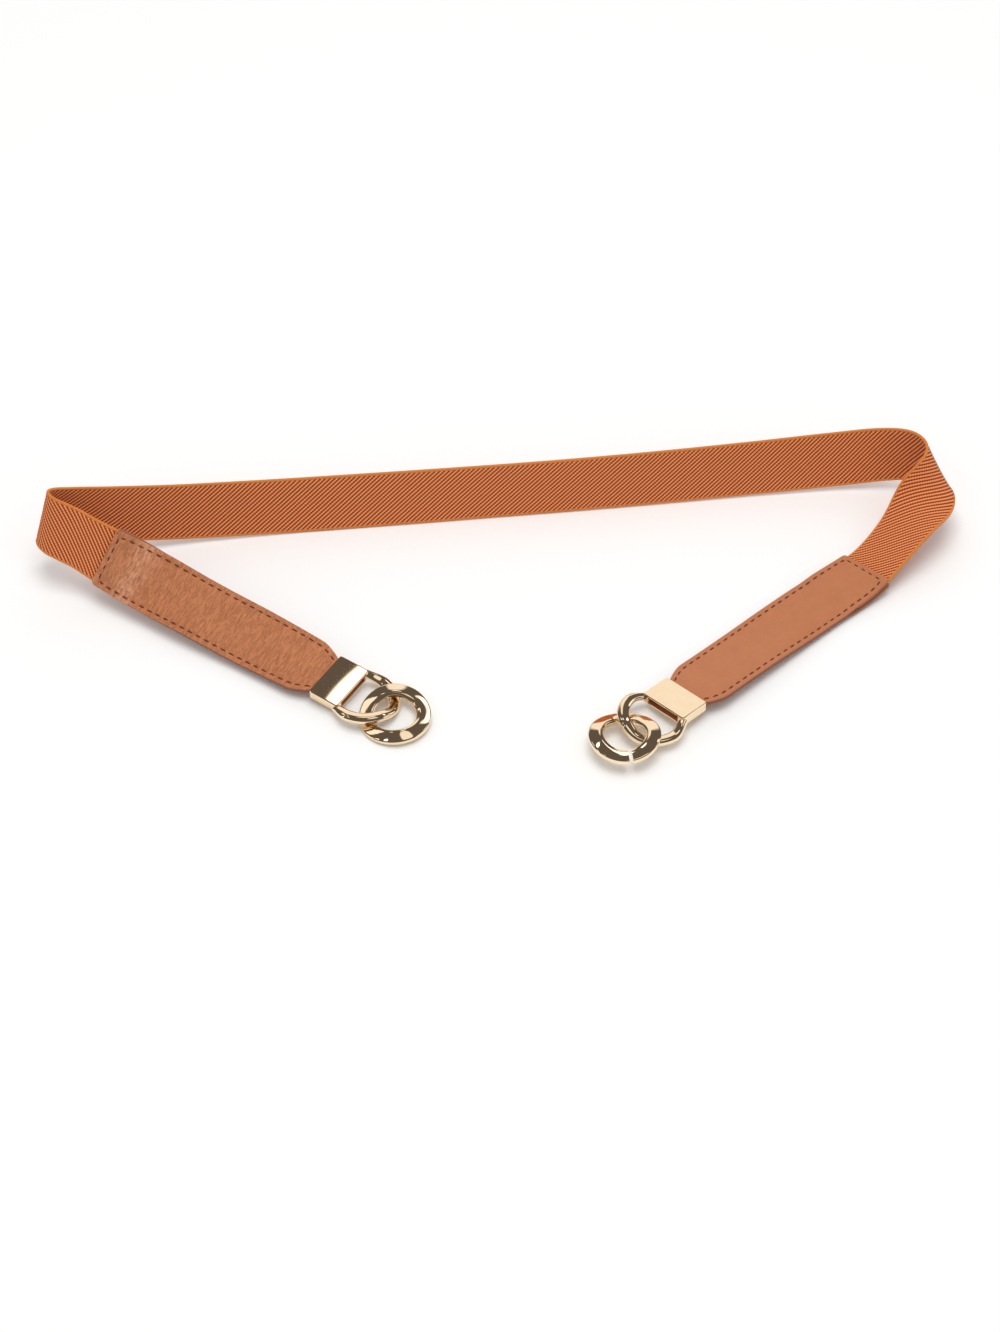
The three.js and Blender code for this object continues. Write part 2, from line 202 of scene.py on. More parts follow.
def section_axes(corners):
    """Directions across the strap and out of its surface at each section."""
    across = unit(corners[:, 1] - corners[:, 0] + corners[:, 2] - corners[:, 3])
    outward = unit(corners[:, 3] - corners[:, 0] + corners[:, 2] - corners[:, 1])
    return across, outward


def tab_middle(name, tip, inner):
    """Middle surface of a tab, from the seam on, and its section closest to the elastic's tip."""
    front = sections_of(f"tab_front_{name}")
    back = sections_of(f"tab_back_{name}")
    first, *_, last = np.linalg.norm(back.mean(axis=1) - front[0].mean(0), axis=1)
    if first > last:
        back = back[::-1]
    centres = (front.mean(axis=1) + back.mean(axis=1)) / 2
    across, _ = section_axes(front)
    outward = unit(front.mean(axis=1) - back.mean(axis=1))
    if np.linalg.norm(centres[0] - tip) > np.linalg.norm(centres[-1] - tip):
        centres, across, outward = centres[::-1], across[::-1], outward[::-1]
    closest = int(np.argmin(np.linalg.norm(centres - tip, axis=1)))
    across = across * np.sign(across[closest] @ inner)
    return (centres, across, outward), closest


class Strap:
    """The strap's middle surface: centre line, width direction and outward direction along it."""

    def __init__(self):
        elastic = sections_of("elastic_band")
        if elastic[0, :, 0].mean() > elastic[-1, :, 0].mean():
            elastic = elastic[::-1]
        centres = elastic.mean(axis=1)
        across, outward = section_axes(elastic)
        halfway = len(centres) // 2
        across *= np.sign(across[halfway, 2])
        outward *= np.sign(outward[halfway, 1])
        parts = [(centres, across, outward)]
        for name, end in ENDS.items():
            tip = 0 if end["side"] < 0 else -1
            middle, closest = tab_middle(name, centres[tip], across[tip])
            # The last section but one stands at the box's mouth, and the last at the tongue's tip
            end["seam_centre"] = middle[0][0]
            end["mouth_centre"] = middle[0][-2]
            beyond = [x[closest + 1:] for x in middle]
            if end["side"] < 0:
                parts.insert(0, [x[::-1] for x in beyond])
            else:
                parts.append(beyond)
        self.centres, self.across, self.outward = (np.concatenate(x) for x in zip(*parts))
        self.travel = unit(np.cross(self.outward, self.across))
        # An arc is longer than its chord by a share of about its turn squared over 24
        chords = np.linalg.norm(np.diff(self.centres, axis=0), axis=1)
        turns = np.arccos(np.clip((self.travel[1:] * self.travel[:-1]).sum(1), -1, 1))
        self.s = np.concatenate([[0], np.cumsum(chords * (1 + turns**2 / 24))])
        self.s -= self.place_of(elastic[0].mean(0)) / 2 + self.place_of(elastic[-1].mean(0)) / 2
        self.elastic_end = self.place_of(elastic[-1].mean(0))
        for end in ENDS.values():
            end["seam"] = abs(self.place_of(end["seam_centre"]))
            end["mouth"] = abs(self.place_of(end["mouth_centre"]))

    def place_of(self, point):
        """Where along the strap a point of its centre line lies."""
        far = np.linalg.norm(self.centres - point, axis=1)
        i = int(np.clip(np.argmin(far), 1, len(far) - 2))
        return self.s[i] + (point - self.centres[i]) @ self.travel[i]

    def at(self, s):
        """Centre, width direction and outward direction at places along the strap."""
        s = np.asarray(s, float)
        i = np.clip(np.searchsorted(self.s, s) - 1, 0, len(self.s) - 2)
        span = (self.s[i + 1] - self.s[i])[:, None]
        t = ((s - self.s[i]) / span[:, 0])[:, None]
        slope = np.gradient(self.across, self.s, axis=0)
        slope_out = np.gradient(self.outward, self.s, axis=0)

        def hermite(values, tangents):
            """Smooth curve through the sections' values with those tangents."""
            return ((2 * t**3 - 3 * t**2 + 1) * values[i] + (t**3 - 2 * t**2 + t) * span * tangents[i]
                    + (3 * t**2 - 2 * t**3) * values[i + 1] + (t**3 - t**2) * span * tangents[i + 1])

        centre = hermite(self.centres, self.travel)
        outward = unit(hermite(self.outward, slope_out))
        across = hermite(self.across, slope)
        across = unit(across - (across * outward).sum(1, keepdims=True) * outward)
        return centre, across, outward

    def lay(self, flat):
        """Strap coordinates (along, across, out of the surface) to places, all in millimetres."""
        flat = np.asarray(flat, float)
        centre, across, outward = self.at(flat[:, 0])
        return centre + across * flat[:, 1:2] + outward * flat[:, 2:3]


strap = Strap()


# Meshes
CUT_REACH = 1e-7            # metres within which a cut takes an existing vertex


def new_object(name, mesh, material):
    """A piece of the part on its one body, with its material and slot."""
    item = bpy.data.objects.new(name, mesh)
    bpy.context.scene.collection.objects.link(item)
    mesh.materials.append(material)
    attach(item, "root")
    return item


def mesh_from(name, points, faces, flat=None):
    """Mesh from places in millimetres, with the strap coordinates as its UV map, in millimetres too."""
    mesh = bpy.data.meshes.new(name)
    mesh.from_pydata((np.asarray(points) * MM).tolist(), [], faces)
    mesh.validate()
    mesh.shade_smooth()
    if flat is not None:
        map_strap(mesh, flat)
    return mesh


def map_strap(mesh, flat):
    """Keeps the strap coordinates along and across as the mesh's UV map."""
    corner = np.empty(len(mesh.loops), np.int64)
    mesh.loops.foreach_get("vertex_index", corner)
    layer = mesh.uv_layers.new(name="strap")
    layer.data.foreach_set("uv", np.asarray(flat, np.float32)[corner, :2].ravel())


def loft_faces(rings, count, looped=False):
    """Quads between consecutive rings of count points, with the ends capped unless looped."""
    spans = rings if looped else rings - 1
    faces = []
    for i in range(spans):
        here, there = i * count, (i + 1) % rings * count
        for j in range(count):
            k = (j + 1) % count
            faces.append((here + j, there + j, there + k, here + k))
    if not looped:
        faces.append(tuple(range(count)))
        faces.append(tuple(range(rings * count - 1, (rings - 1) * count - 1, -1)))
    return faces


def turned_out(mesh):
    """Makes the faces of a closed mesh point outwards."""
    work = bmesh.new()
    work.from_mesh(mesh)
    bmesh.ops.recalc_face_normals(work, faces=work.faces)
    work.to_mesh(mesh)
    work.free()
    return mesh


def cut_through(work, place, normal, **settings):
    """Cuts all of a mesh being worked on along a plane. The place is in millimetres."""
    everything = list(work.verts) + list(work.edges) + list(work.faces)
    return bmesh.ops.bisect_plane(work, geom=everything, dist=CUT_REACH, plane_co=[x * MM for x in place],
                                  plane_no=normal, **settings)


# Elastic
def rib_height(s, b):
    """Height of the twill ribs from 0 in a groove to 1 on a crest. They run diagonally across the strap."""
    return np.abs(np.sin(np.pi * (s - RIB_LEAN * b) / RIB_PITCH)) ** RIB_SHAPE


def elastic_half(s, b):
    """Half thickness of the elastic: ribs inside, a fine groove, then a smooth rounded selvage."""
    half = ELASTIC_WIDTH / 2
    inside = 1 - smoothstep(np.abs(b), half - SELVAGE - RIB_FADE, half - SELVAGE)
    groove = np.exp(-((np.abs(b) - (half - SELVAGE)) / SELVAGE_GROOVE) ** 2)
    face = ELASTIC_THICK / 2 - inside * RIB_DEPTH * (1 - rib_height(s, b)) - SELVAGE_GROOVE * groove
    rim = np.clip((np.abs(b) - half + SELVAGE_ROUND) / SELVAGE_ROUND, 0, 1)
    return face * np.sqrt(np.maximum(1 - rim**2, 0.0))


def elastic_flat_mesh():
    """The elastic laid flat, sheared so that mesh lines follow the ribs, then cut square at both ends."""
    half = ELASTIC_WIDTH / 2
    border = [half - line for line in EDGE_LINES]
    inner = np.linspace(-border[-1], border[-1], INNER_LINES)
    up = [-b for b in border[:-1]] + list(inner) + border[-2::-1]
    profile = [(b, 1) for b in up] + [(b, -1) for b in up[-2:0:-1]]
    count = len(profile)
    lean = RIB_LEAN * half
    first = math.floor((-strap.elastic_end - lean) / RIB_PITCH) * RIB_PITCH
    columns = int(math.ceil((strap.elastic_end + lean - first) / RIB_PITCH)) * COLUMNS_PER_RIB
    b = np.tile([p[0] for p in profile], columns)
    face = np.tile([p[1] for p in profile], columns)
    s = np.repeat(first + np.arange(columns) * RIB_PITCH / COLUMNS_PER_RIB, count) + RIB_LEAN * b
    flat = np.stack([s, b, face * elastic_half(s, b)], axis=1)
    mesh = mesh_from("elastic_weave", flat, loft_faces(columns, count))
    work = bmesh.new()
    work.from_mesh(mesh)
    for side in (-1, 1):
        place = (side * (strap.elastic_end - END_TRIM), 0, 0)
        cut = cut_through(work, place, (side, 0, 0), clear_outer=True)
        rim = [e for e in cut["geom_cut"] if isinstance(e, bmesh.types.BMEdge)]
        bmesh.ops.contextual_create(work, geom=rim)
    work.to_mesh(mesh)
    work.free()
    return mesh


def make_elastic(material):
    """The woven elastic, laid along the strap as one sheet."""
    mesh = elastic_flat_mesh()
    flat = np.empty(len(mesh.vertices) * 3)
    mesh.vertices.foreach_get("co", flat)
    flat = flat.reshape(-1, 3) / MM
    mesh.vertices.foreach_set("co", (strap.lay(flat) * MM).ravel())
    map_strap(mesh, flat)
    mesh.update()
    turned_out(mesh)
    band = new_object("elastic_weave", mesh, material)
    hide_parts("elastic_band")


# Leather tabs
def leather_inset(s):
    """Distance from the middle surface to a layer's near face: over the elastic, then closing beyond it."""
    opened = ELASTIC_THICK / 2 + CLEARANCE
    beyond = s - strap.elastic_end - CLEARANCE
    return opened + (CLEARANCE / 2 - opened) * smoothstep(beyond, 0, TAB["closing"])


def leather_half(s, end):
    """Half width of a layer: rounded at the seam, full, then tapered to the tongue in the clasp box."""
    full, tongue = TAB["width"] / 2, TAB["tongue"] / 2
    start = end["mouth"] - CLEARANCE - TAB["shoulder"]
    t = np.clip((s - start) / TAB["shoulder"], 0, 1)
    half = full + (tongue - full) * t ** TAB["rounding"]
    corner = np.clip(1 - (s - end["seam"]) / SEAM_CORNER, 0, 1)
    return half - SEAM_CORNER * (1 - np.sqrt(1 - corner**2))


def stitch_line(end):
    """The stitched line of a tab in strap coordinates: along one edge, across the seam and back again."""
    seam, mouth = end["seam"], end["mouth"]
    along = np.linspace(mouth - STITCH_END, seam + STITCH_INSET, STITCH_LINE_POINTS["edge"])
    edge = leather_half(along, end) - STITCH_INSET
    lower = np.stack([along, -edge], axis=1)
    upper = np.stack([along[::-1], edge[::-1]], axis=1)
    across = np.linspace(-edge[-1], edge[-1], STITCH_LINE_POINTS["seam"])[1:-1]
    seam_run = np.stack([np.full(len(across), seam + STITCH_INSET), across], axis=1)
    return np.concatenate([lower, seam_run, upper])


def resampled(line, pitch):
    """Points along a line, evenly apart, at about the pitch."""
    run = np.concatenate([[0], np.cumsum(np.linalg.norm(np.diff(line, axis=0), axis=1))])
    count = int(round(run[-1] / pitch))
    places = np.linspace(0, run[-1], count + 1)
    return np.stack([np.interp(places, run, line[:, k]) for k in range(2)], axis=1)


def distance_to(points, line):
    """Distance of each point to the nearest stretch of a line, in the plane."""
    a, b = line[:-1], line[1:]
    ab = b - a
    best = np.full(len(points), np.inf)
    for start, step in zip(a, ab):
        t = np.clip(((points - start) @ step) / (step @ step), 0, 1)
        best = np.minimum(best, np.linalg.norm(points - start - t[:, None] * step, axis=1))
    return best


def waves(kind, s, b, end):
    """Smooth noise from -1 to 1 at each place, drawn out across the strap and leaning a little."""
    wave = WAVES[kind]
    along = s * wave["along"] + b * wave["lean"]
    across = b * wave["across"]
    seed = end["seed"] + wave["seed"]
    return np.array([noise.noise(Vector((x, y, seed))) for x, y in zip(along, across)])


def wrinkles(s, b, end):
    """Cross wrinkles and soft unevenness of the leather, stronger on the left tab, which is bent more."""
    folds = waves("fold", s, b, end) + WRINKLE_FINE * waves("fine", s, b, end)
    height = end["wrinkles"] * folds + UNEVENNESS * waves("broad", s, b, end)
    run = s - end["seam"]
    fade = WRINKLE_FADE["share"] * smoothstep(run, WRINKLE_FADE["from"], WRINKLE_FADE["to"])
    return height * smoothstep(run, 0, WRINKLE_START) * (1 - fade)


def leather_heights(s, b, end, stitches):
    """Outer face of a layer above its near face."""
    far = distance_to(np.stack([s, b], axis=1), stitches)
    channel = STITCH_CHANNEL["depth"] * np.exp(-((far / STITCH_CHANNEL["width"]) ** 2))
    inside = leather_half(s, end) - np.abs(b) - STITCH_INSET
    puff = FACE_PUFF["height"] * smoothstep(inside, 0, FACE_PUFF["reach"])
    return LEATHER_THICK - FACE_DROP - channel + puff + wrinkles(s, b, end)


def leather_run(end):
    """Places of a layer's sections along the strap: close at the seam, then even, then the tongue."""
    near_seam = [end["seam"] + x for x in RUN_LINES["near_seam"]]
    even = np.arange(end["seam"] + RUN_LINES["even_from"], end["mouth"], RUN_LINES["even_step"])
    return np.concatenate([near_seam, even, [end["mouth"], end["mouth"] + TAB["tongue_depth"]]])


def leather_profile():
    """A layer's section, in shares of half its width and of its height: rim, face, rim and back."""
    rising = [(-x, lift) for x, lift in LEATHER_RIM]
    top = [(x * FACE_SHARE, 1.0) for x in np.linspace(-1, 1, FACE_LINES)]
    return rising + top + LEATHER_RIM[::-1] + [(x, 0.0) for x in LEATHER_BACK]


def make_leather(name, face, material, edge):
    """One leather layer of a tab. face is OUTER or INNER."""
    end = ENDS[name]
    run = leather_run(end)
    profile = leather_profile()
    count = len(profile)
    s = np.repeat(run, count)
    t = np.tile([p[0] for p in profile], len(run))
    lift = np.tile([p[1] for p in profile], len(run))
    b = t * leather_half(s, end)
    stitches = resampled(stitch_line(end), STITCH_PITCH)
    height = leather_heights(s, b, end, stitches)
    ease = np.sqrt(1 - (1 - np.clip((s - end["seam"]) / EDGE_ROUND, 0, 1)) ** 2)
    height = height * (SEAM_LIFT + (1 - SEAM_LIFT) * ease)
    held = smoothstep(s, end["mouth"] - MOUTH_EASE, end["mouth"])
    height = height * (1 - held) + LEATHER_THICK * held
    n = face * (leather_inset(s) + lift * height)
    points = strap.lay(np.stack([end["side"] * s, b, n], axis=1))
    label = "outer" if face > 0 else "inner"
    faces = loft_faces(len(run), count)
    mesh = mesh_from(f"leather_{label}_{name}", points, faces, np.stack([s, b], axis=1))
    # The two caps are the last faces, and both are cut edges
    shares = np.abs([p[0] for p in profile])
    cut = np.minimum(shares, np.roll(shares, -1)) > CUT_EDGE_FROM
    marks = np.concatenate([np.tile(cut, len(run) - 1), [True, True]]).astype(np.int32)
    mesh.polygons.foreach_set("material_index", marks)
    turned_out(mesh)
    layer = new_object(mesh.name, mesh, material)
    layer.data.materials.append(edge)
    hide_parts(f"tab_{'front' if face > 0 else 'back'}_{name}")


def make_stitches(name, face, material):
    """Threads of one stitched line, each a short arched bar with both ends sunk in the leather.

    face is OUTER or INNER.
    """
    end = ENDS[name]
    marks = resampled(stitch_line(end), STITCH_PITCH)
    faces, flats = [], []
    for a, b in zip(marks[:-1], marks[1:]):
        way = (b - a) / np.linalg.norm(b - a)
        normal = np.array([-way[1], way[0]])
        base = len(flats)
        for k in range(STITCH_STEPS + 1):
            middle = a + (b - a) * (STITCH_FROM + STITCH_SPAN * k / STITCH_STEPS)
            arch = math.sin(math.pi * k / STITCH_STEPS)
            radius = THREAD / 2 * (THREAD_TIP + (1 - THREAD_TIP) * arch)
            for j in range(STITCH_SIDES):
                turn = 2 * math.pi * j / STITCH_SIDES
                place = middle + normal * radius * math.cos(turn)
                flats.append([*place, STITCH_RISE * arch - STITCH_SINK + radius * math.sin(turn)])
        faces += [tuple(base + v for v in f) for f in loft_faces(STITCH_STEPS + 1, STITCH_SIDES)]
    along, across, out = np.array(flats).T
    surface = leather_inset(along) + LEATHER_THICK
    points = strap.lay(np.stack([end["side"] * along, across, face * (surface + out)], axis=1))
    label = "outer" if face > 0 else "inner"
    mesh = turned_out(mesh_from(f"stitches_{label}_{name}", points, faces))
    new_object(mesh.name, mesh, material)


# Metal
def rounded(profile):
    """A closed outline with its corners cut, so that its edges catch the light as narrow bevels."""
    points = np.array(profile, float)
    for _ in range(CORNER_ROUNDS):
        ahead = np.roll(points, -1, axis=0)
        first = points * (1 - CORNER_CUT) + ahead * CORNER_CUT
        second = points * CORNER_CUT + ahead * (1 - CORNER_CUT)
        points = np.stack([first, second], axis=1).reshape(-1, 2)
    return points


# Sections as shares of the band and the thickness, from the inner edge to the outer one
LINK_SECTION = [(-0.50, -0.24), (-0.32, -0.50), (0.38, -0.50), (0.50, -0.38), (0.50, 0.20),
                (0.34, 0.42), (0.14, 0.50), (-0.30, 0.38), (-0.50, 0.14)]
RING_SECTION = [(-0.50, -0.25), (-0.36, -0.50), (0.38, -0.50), (0.50, -0.38), (0.50, 0.10), (0.44, 0.19),
                (0.29, 0.275), (0.12, 0.363), (-0.06, 0.444), (-0.22, 0.50), (-0.40, 0.46), (-0.50, 0.24)]
RING_RADIUS = (RING["outer"] - RING["band"]) / 2
LINK_LONG = LINK["reach"] - LINK["band"] / 2 - LINK["centre"]
LINK_WIDE = BOX["width"] / 2 - LINK["band"] / 2 + LINK["bulge"]
LINK_DIP = (LINK["thick"] + RING["rear"]) / 2 + 2 * CLEARANCE - RING["wave"]


def link_mesh():
    """The D-shaped link: part of an ellipse that dips on one side and rises on the other."""
    section = rounded(LINK_SECTION)
    rings = []
    for i in range(LINK_STEPS + 1):
        degrees = LINK["root"] * (2 * i / LINK_STEPS - 1)
        angle = math.radians(degrees)
        root = float(smoothstep(abs(degrees), LINK_ROOT["from"], LINK["root"]))
        centre = np.array([
            BOX["length"] + LINK["centre"] + LINK_LONG * math.cos(angle),
            LINK_WIDE * math.sin(angle) * (1 + (LINK_ROOT["width"] - 1) * root),
            -LINK_DIP * math.sin(math.pi / 2 * math.sin(math.pi * degrees / LINK["root"]))])
        band = LINK["band"] * (1 + (LINK_ROOT["band"] - 1) * root)
        outward = unit(np.array([math.cos(angle) / LINK_LONG, math.sin(angle) / LINK_WIDE, 0.0]))
        rings.append([centre + outward * across * band + np.array([0, 0, up * LINK["thick"]])
                      for across, up in section])
    points = np.array(rings).reshape(-1, 3)
    return turned_out(mesh_from("link", points, loft_faces(LINK_STEPS + 1, len(section))))


def ring_mesh():
    """A bevelled ring, thinner where it passes through the link, waved so that both lie flat together."""
    section = rounded(RING_SECTION)
    rings = []
    for i in range(RING_STEPS):
        angle = 2 * math.pi * i / RING_STEPS
        rear = float(smoothstep(-math.cos(angle), *RING_THINS))
        thick = RING["thick"] + (RING["rear"] - RING["thick"]) * rear
        outward = np.array([math.cos(angle), math.sin(angle), 0.0])
        wave = -RING["wave"] * math.sin(2 * angle)
        rings.append([outward * (RING_RADIUS + across * RING["band"]) + np.array([0, 0, wave + up * thick])
                      for across, up in section])
    points = np.array(rings).reshape(-1, 3)
    return turned_out(mesh_from("ring", points, loft_faces(RING_STEPS, len(section), looped=True)))


def block(name, size, place=(0, 0, 0), turn=0.0):
    """A box of that size in millimetres, moved along X and then turned about Z: a tool for cuts."""
    work = bmesh.new()
    bmesh.ops.create_cube(work, size=1.0)
    bmesh.ops.scale(work, vec=[x * MM for x in size], verts=work.verts)
    bmesh.ops.translate(work, vec=[x * MM for x in place], verts=work.verts)
    bmesh.ops.rotate(work, matrix=Matrix.Rotation(math.radians(turn), 3, "Z"), verts=work.verts)
    mesh = bpy.data.meshes.new(name)
    work.to_mesh(mesh)
    work.free()
    return mesh


def groove_mesh(degrees):
    """A wedge across the ring's band with its edge down."""
    top = RING["thick"] / 2 + RING["wave"]
    depth = GROOVE["depth"] + RING["wave"]
    reach = HALF_CUT * RING["band"]
    width = GROOVE["width"]
    outline = [(-width, top), (0, top - depth), (width, top), (0, top + depth)]
    points = [(RING_RADIUS + x, y, z) for x in (-reach, reach) for y, z in outline]
    mesh = mesh_from("groove", points, loft_faces(2, 4))
    mesh.transform(Matrix.Rotation(math.radians(degrees), 4, "Z"))
    return turned_out(mesh)


def crown_faces(work):
    """Cuts the box into a fine grid and lowers both broad faces a little towards their edges."""
    half_length, half_width, half_height = BOX["length"] / 2, BOX["width"] / 2, BOX["height"] / 2
    for axis, (outermost, count) in CROWN_GRID.items():
        for share in np.linspace(-outermost, outermost, count):
            if axis == "length":
                cut_through(work, (half_length * (1 + share), 0, 0), (1, 0, 0))
            else:
                cut_through(work, (0, half_width * share, 0), (0, 1, 0))
    for vertex in work.verts:
        x, y, _ = (c / MM for c in vertex.co)
        ends = (x / half_length - 1) ** 2 * CROWN_SHARE["length"]
        sides = (y / half_width) ** 2 * CROWN_SHARE["width"]
        vertex.co.z *= 1 - BOX["crown"] * (ends + sides) / half_height


def rise(edge):
    """Difference in height between an edge's ends, in metres."""
    one, other = edge.verts
    return abs(one.co.z - other.co.z)


def is_rim(edge):
    """Whether an edge is level and lies between a broad face and a side."""
    if rise(edge) > WELD or len(edge.link_faces) != 2:
        return False
    one, other = edge.link_faces
    return abs(one.normal.z - other.normal.z) > RIM_TURN


def box_mesh():
    """The clasp's flat box with soft edges and a slightly crowned face."""
    work = bmesh.new()
    bmesh.ops.create_cube(work, size=1.0)
    bmesh.ops.scale(work, vec=(BOX["length"] * MM, BOX["width"] * MM, BOX["height"] * MM), verts=work.verts)
    bmesh.ops.translate(work, vec=(BOX["length"] / 2 * MM, 0, 0), verts=work.verts)
    upright = [edge for edge in work.edges if rise(edge) > WELD]
    bmesh.ops.bevel(work, geom=upright, offset=BOX["corner"] * MM, affect="EDGES", **BEVEL["corner"])
    rims = [edge for edge in work.edges if is_rim(edge)]
    bmesh.ops.bevel(work, geom=rims, offset=BOX["edge"] * MM, affect="EDGES", **BEVEL["edge"])
    crown_faces(work)
    mesh = bpy.data.meshes.new("box")
    work.to_mesh(mesh)
    work.free()
    return mesh


def combined(name, base, tools):
    """The base mesh after each (operation, mesh) has been applied to it."""
    holder = bpy.data.objects.new(name, base)
    bpy.context.scene.collection.objects.link(holder)
    helpers = []
    for operation, mesh in tools:
        helper = bpy.data.objects.new("tool", mesh)
        bpy.context.scene.collection.objects.link(helper)
        modifier = holder.modifiers.new("cut", "BOOLEAN")
        modifier.operation = operation
        modifier.solver = "EXACT"
        modifier.object = helper
        helpers.append(helper)
    graph = bpy.context.evaluated_depsgraph_get()
    result = bpy.data.meshes.new_from_object(holder.evaluated_get(graph))
    for helper in helpers + [holder]:
        bpy.data.objects.remove(helper)
    result.name = name
    return result


def clasp_matrix(name):
    """The casting's frame: x out of the box, y to the side where the ring passes over, z outward."""
    end = ENDS[name]
    side = end["side"]
    centre, across, outward = (x[0] for x in strap.at([side * end["mouth"]]))
    sideways = -side * across
    forward = np.cross(sideways, outward)
    matrix = Matrix.Identity(4)
    for column, axis in enumerate((forward, sideways, outward, centre * MM)):
        for row in range(3):
            matrix[row][column] = axis[row]
    return matrix


def finished_metal(mesh, matrix):
    """A casting's mesh put in its place, smooth apart from its sharp edges."""
    mesh.transform(matrix)
    mesh.shade_smooth()
    mesh.set_sharp_from_angle(angle=math.radians(SHARP_ANGLE))
    return mesh


def in_pocket(face):
    """Whether a face of the clasp is a wall of the pocket behind the box's front."""
    x, y, z = (c / MM for c in face.center)
    deep = BOX["length"] - POCKET["depth"] - CLEARANCE < x < BOX["length"]
    return deep and abs(y) < POCKET["width"] / 2 + WALL_REACH and abs(z) < SLOT["height"] / 2 + WALL_REACH


def make_clasp(name, material, recess_painted_shade):
    """The box and its link as one casting, with the slot for the leather and the pocket in front."""
    slot = block("slot", (2 * SLOT["depth"], SLOT["width"], SLOT["height"]))
    pocket = block("pocket", (2 * POCKET["depth"], POCKET["width"], SLOT["height"]), (BOX["length"], 0, 0))
    steps = [("UNION", link_mesh()), ("DIFFERENCE", slot), ("DIFFERENCE", pocket)]
    mesh = combined(f"clasp_casting_{name}", box_mesh(), steps)
    # Faces of the pocket get the material of painted shade and reflection
    for face in mesh.polygons:
        if in_pocket(face):
            face.material_index = 1
    clasp = new_object(mesh.name, finished_metal(mesh, clasp_matrix(name)), material)
    clasp.data.materials.append(recess_painted_shade)
    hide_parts(f"clasp_{name}")


def make_ring(name, material):
    """The ring, cut by a notch at the rear and by a slit or another notch in front."""
    end = ENDS[name]
    if end["slit"]:
        size = (2 * HALF_CUT * RING["band"], SLIT_WIDTH, 4 * RING["thick"])
        front = block("slit", size, (RING_RADIUS, 0, 0), GROOVE["front"])
    else:
        front = groove_mesh(GROOVE["front"])
    cuts = [("DIFFERENCE", groove_mesh(GROOVE["rear"])), ("DIFFERENCE", front)]
    mesh = combined(f"ring_{name}_polished", ring_mesh(), cuts)
    matrix = (clasp_matrix(name) @ Matrix.Translation(((BOX["length"] + end["ahead"]) * MM, 0, 0))
              @ Matrix.Rotation(math.radians(end["tilt"]), 4, "X"))
    ring = new_object(mesh.name, finished_metal(mesh, matrix), material)
    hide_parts(f"ring_{name}")


# Materials. Colours are linear. Depths and pitches are in millimetres.
SURFACES = {
    "elastic_twill": {"Roughness": 0.85, "Sheen Weight": 0.05, "Sheen Roughness": 0.5,
                      "Specular IOR Level": 0.06},
    # leather_edge: darker brown, partly edge paint and partly painted shade
    "leather_edge": {"Base Color": (0.30, 0.115, 0.070, 1), "Roughness": 0.6},
    "thread": {"Roughness": 0.7},
    "pale_gold": {"Metallic": 1.0},
    # pocket inside the D: its orange-brown is painted shade and reflection
    "recess_painted_shade": {"Base Color": (0.62, 0.26, 0.09, 1), "Metallic": 0.6, "Roughness": 0.5},
    "floor_white": {"Base Color": (0.93, 0.93, 0.92, 1), "Roughness": 0.9, "Specular IOR Level": 0.1},
}
NOISES = {      # scales are for each millimetre, and for each metre in the last two
    "fuzz": {"Scale": 2.2, "Detail": 5.0, "Roughness": 0.65},
    "weave": {"Scale": 4.5, "Detail": 4.0, "Roughness": 0.7},
    "blotch": {"Scale": 0.14, "Detail": 4.0, "Roughness": 0.6},
    "crease": {"Scale": 1.0, "Detail": 2.5, "Roughness": 0.5, "Distortion": 0.9},
    "twist": {"Scale": 2500.0, "Detail": 2.0},
    "cloud": {"Scale": 300.0, "Detail": 3.0},
}
RAMPS = {
    # ribs: the dark groove colour is painted shade, the light crest colour painted highlight
    "ribs": [(0.22, (0.19, 0.029, 0.007)), (0.60, (0.51, 0.122, 0.036)), (0.90, (0.90, 0.35, 0.145))],
    "selvage": [(0.3, (0.56, 0.165, 0.036)), (0.8, (0.76, 0.27, 0.070))],
    "thread": [(0.3, (0.085, 0.015, 0.005)), (0.7, (0.17, 0.036, 0.013))],
    "gold": [(0.3, (0.95, 0.74, 0.50)), (0.7, (0.97, 0.78, 0.55))],
}
LEATHERS = {
    "leather_creased": {"dark": (0.43, 0.144, 0.054), "light": (0.60, 0.216, 0.090),
                        "creases": 0.42, "grain": 0.12},
    "leather_smooth": {"dark": (0.473, 0.163, 0.065), "light": (0.55, 0.197, 0.082),
                       "creases": 0.02, "grain": 0.03},
    "leather_lining": {"dark": (0.33, 0.115, 0.052), "light": (0.45, 0.170, 0.080),
                       "creases": 0.01, "grain": 0.03},
}
LEATHER_TONES = (0.25, 0.75)        # tones of the dark and the light colour
LEATHER_ROUGHNESS = (0.38, 0.52)
BLOTCH_TONE = 0.6                   # shares that blotches, pores and creases have in the tone
PORE_TONE = {"least": 0.12, "per_grain": 0.3}
CREASE_TONE = 1.2
PORES = {"Scale": 1.25, "Randomness": 1.0}
PORE_EDGE = 0.25                    # distance from a cell's border, in cells, where the leather is level
CREASE_STRETCH = {"Scale": (1.0, 0.26, 1.0), "Rotation": (0, 0, 0.06)}
CREASE_RANGE = (0.35, 0.65)
